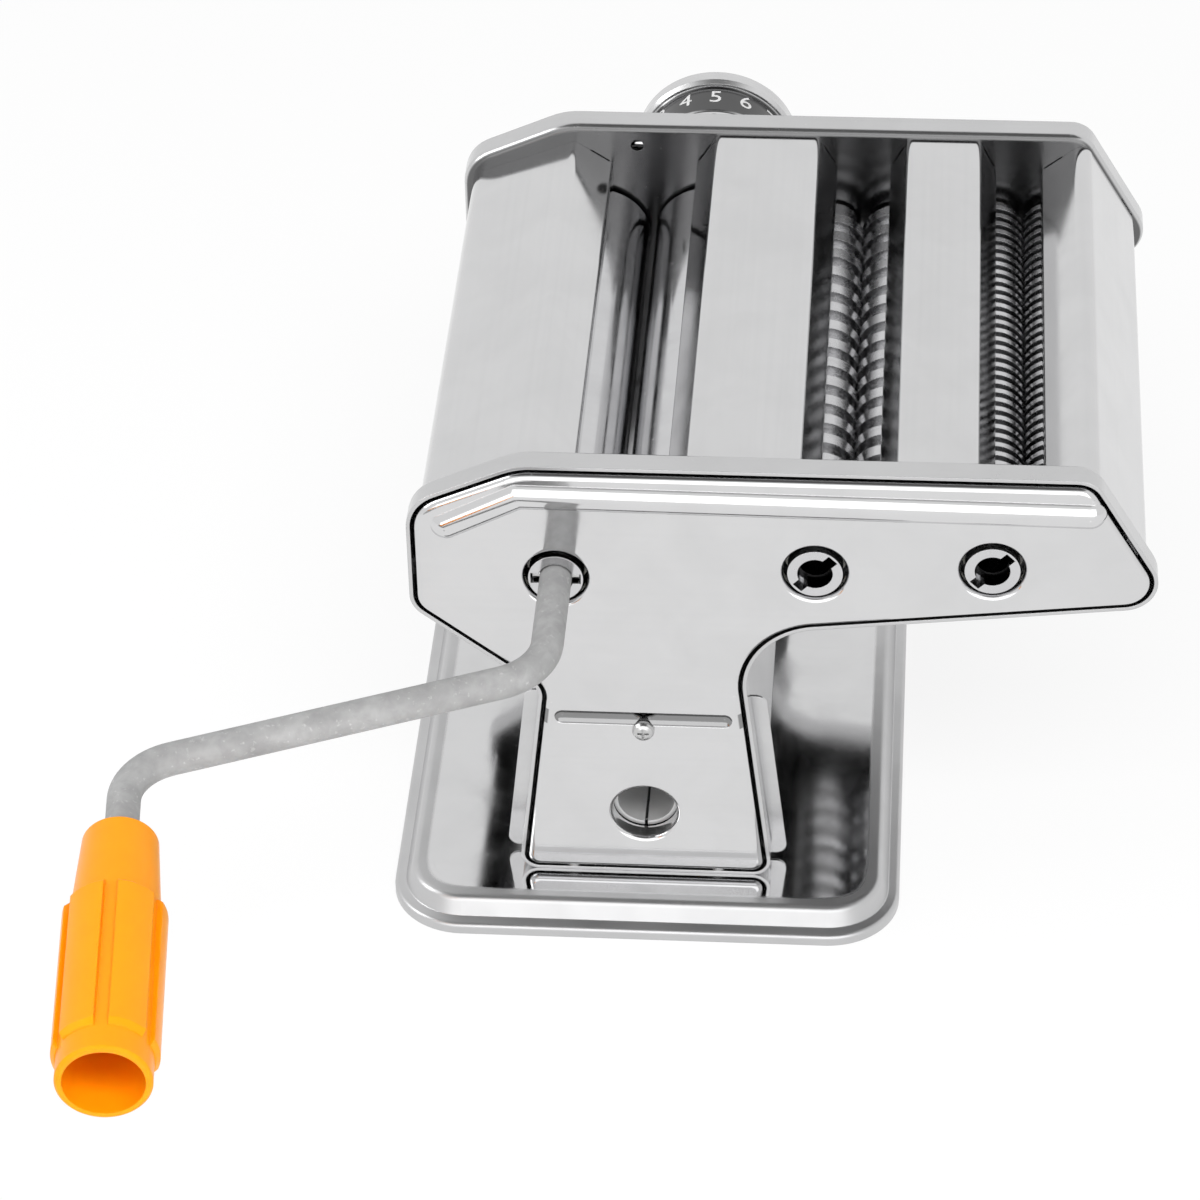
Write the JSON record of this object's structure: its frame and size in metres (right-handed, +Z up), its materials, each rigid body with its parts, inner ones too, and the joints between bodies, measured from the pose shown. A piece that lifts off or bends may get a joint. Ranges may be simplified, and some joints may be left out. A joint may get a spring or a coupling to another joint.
{
  "type": "pasta roller machine",
  "caption": "Hand-cranked pasta machine: smooth rollers with a thickness dial, wide and narrow noodle cutters, folded steel covers and a pressed base, with a plug-in crank.",
  "frame": {"origin": "on the table, under the base, midway between the side frames and under the middle of the leg", "axes": "+X from the smooth rollers to the narrow cutter, +Y along the rollers from the crank side to the dial side, +Z up"},
  "size_m": [0.2654, 0.4115, 0.147],
  "materials": {
    "polished_steel": "polished",
    "roller_chrome": "polished",
    "plain_steel": "satin",
    "crank_steel": "satin",
    "gear_brass": "satin",
    "bush_nylon": "satin",
    "foot_rubber": "matte",
    "grip_plastic": "gloss"
  },
  "bodies": {
    "frame": {"base_plate": "polished_steel", "rubber_feet": "foot_rubber", "front_side_frame": "polished_steel", "back_side_frame": "polished_steel", "front_cover": "polished_steel", "back_cover": "polished_steel", "leg_side_panels": "polished_steel", "dough_chute": "polished_steel", "clamp_sleeve": "plain_steel", "left_top_cover": "polished_steel", "wide_top_cover": "polished_steel", "narrow_top_cover": "polished_steel", "right_top_cover": "polished_steel", "tie_rods": "plain_steel", "tie_rod_nuts": "plain_steel", "leg_tie_rod": "plain_steel", "cover_screws": "plain_steel", "base_rivets": "plain_steel", "shaft_bushes": "bush_nylon", "dial_housing": "polished_steel", "roller_scrapers": "plain_steel", "wide_cutter_combs": "plain_steel", "narrow_cutter_combs": "plain_steel"},
    "drive_roller": {"drive_roller": "roller_chrome", "drive_end_plug": "roller_chrome", "drive_gear": "gear_brass"},
    "crank": {"crank_rod": "crank_steel", "crank_pin": "plain_steel", "grip_retainer": "plain_steel"},
    "grip": {"grip": "grip_plastic"},
    "eccentric": {"eccentric_shaft": "plain_steel", "dial_washer": "plain_steel", "dial_screw": "plain_steel", "dial_spring": "plain_steel"},
    "dial": {"dial_knob": "polished_steel", "dial_pin": "plain_steel"},
    "roller_carrier": {"eccentric_sleeves": "bush_nylon"},
    "adjustable_roller": {"adjustable_roller": "roller_chrome", "adjustable_gear": "gear_brass"},
    "wide_driven": {"wide_cutter_driven": "roller_chrome", "wide_gear_driven": "gear_brass"},
    "wide_idle": {"wide_cutter_idle": "roller_chrome", "wide_gear_idle": "gear_brass"},
    "narrow_driven": {"narrow_cutter_driven": "roller_chrome", "narrow_gear_driven": "gear_brass"},
    "narrow_idle": {"narrow_cutter_idle": "roller_chrome", "narrow_gear_idle": "gear_brass"}
  },
  "joints": [
    {"name": "drive_spin", "type": "hinge", "parent": "frame", "child": "drive_roller", "pos_m": [-0.0225, 0, 0.1115], "axis": [0, 1, 0], "continuous": true},
    {"name": "crank_pull", "type": "slide", "parent": "drive_roller", "child": "crank", "axis": [0, -1, 0], "range_m": [0, 0.026]},
    {"name": "grip_spin", "type": "hinge", "parent": "crank", "child": "grip", "pos_m": [-0.12083, -0.19733, 0.1115], "axis": [0.1045, -0.9945, 0], "continuous": true},
    {"name": "dial_turn", "type": "hinge", "parent": "frame", "child": "eccentric", "pos_m": [0.0095, 0, 0.1115], "axis": [0, 1, 0], "range_deg": [-96, 96]},
    {"name": "dial_pull", "type": "slide", "parent": "eccentric", "child": "dial", "axis": [0, 1, 0], "range_m": [0, 0.004], "stiffness_N_per_m": 800, "springref_m": -0.003, "deforming": ["dial_spring"]},
    {"name": "carrier_turn", "type": "hinge", "parent": "eccentric", "child": "roller_carrier", "pos_m": [0.0095, 0, 0.11275], "axis": [0, 1, 0], "range_deg": [-97, 97]},
    {"name": "adjustable_spin", "type": "hinge", "parent": "roller_carrier", "child": "adjustable_roller", "pos_m": [0.0095, 0, 0.11275], "axis": [0, 1, 0], "continuous": true},
    {"name": "wide_spin", "type": "hinge", "parent": "frame", "child": "wide_driven", "pos_m": [0.0455, 0, 0.1155], "axis": [0, 1, 0], "continuous": true},
    {"name": "wide_idle_spin", "type": "hinge", "parent": "frame", "child": "wide_idle", "pos_m": [0.0635, 0, 0.1155], "axis": [0, 1, 0], "continuous": true},
    {"name": "narrow_spin", "type": "hinge", "parent": "frame", "child": "narrow_driven", "pos_m": [0.0916, 0, 0.118], "axis": [0, 1, 0], "continuous": true},
    {"name": "narrow_idle_spin", "type": "hinge", "parent": "frame", "child": "narrow_idle", "pos_m": [0.1081, 0, 0.118], "axis": [0, 1, 0], "continuous": true}
  ],
  "couplings": [
    {"joint": "carrier_turn", "follows": "dial_turn", "ratio": -1},
    {"joint": "adjustable_spin", "follows": "drive_spin", "ratio": -1},
    {"joint": "wide_idle_spin", "follows": "wide_spin", "ratio": -1},
    {"joint": "narrow_idle_spin", "follows": "narrow_spin", "ratio": -1}
  ]
}
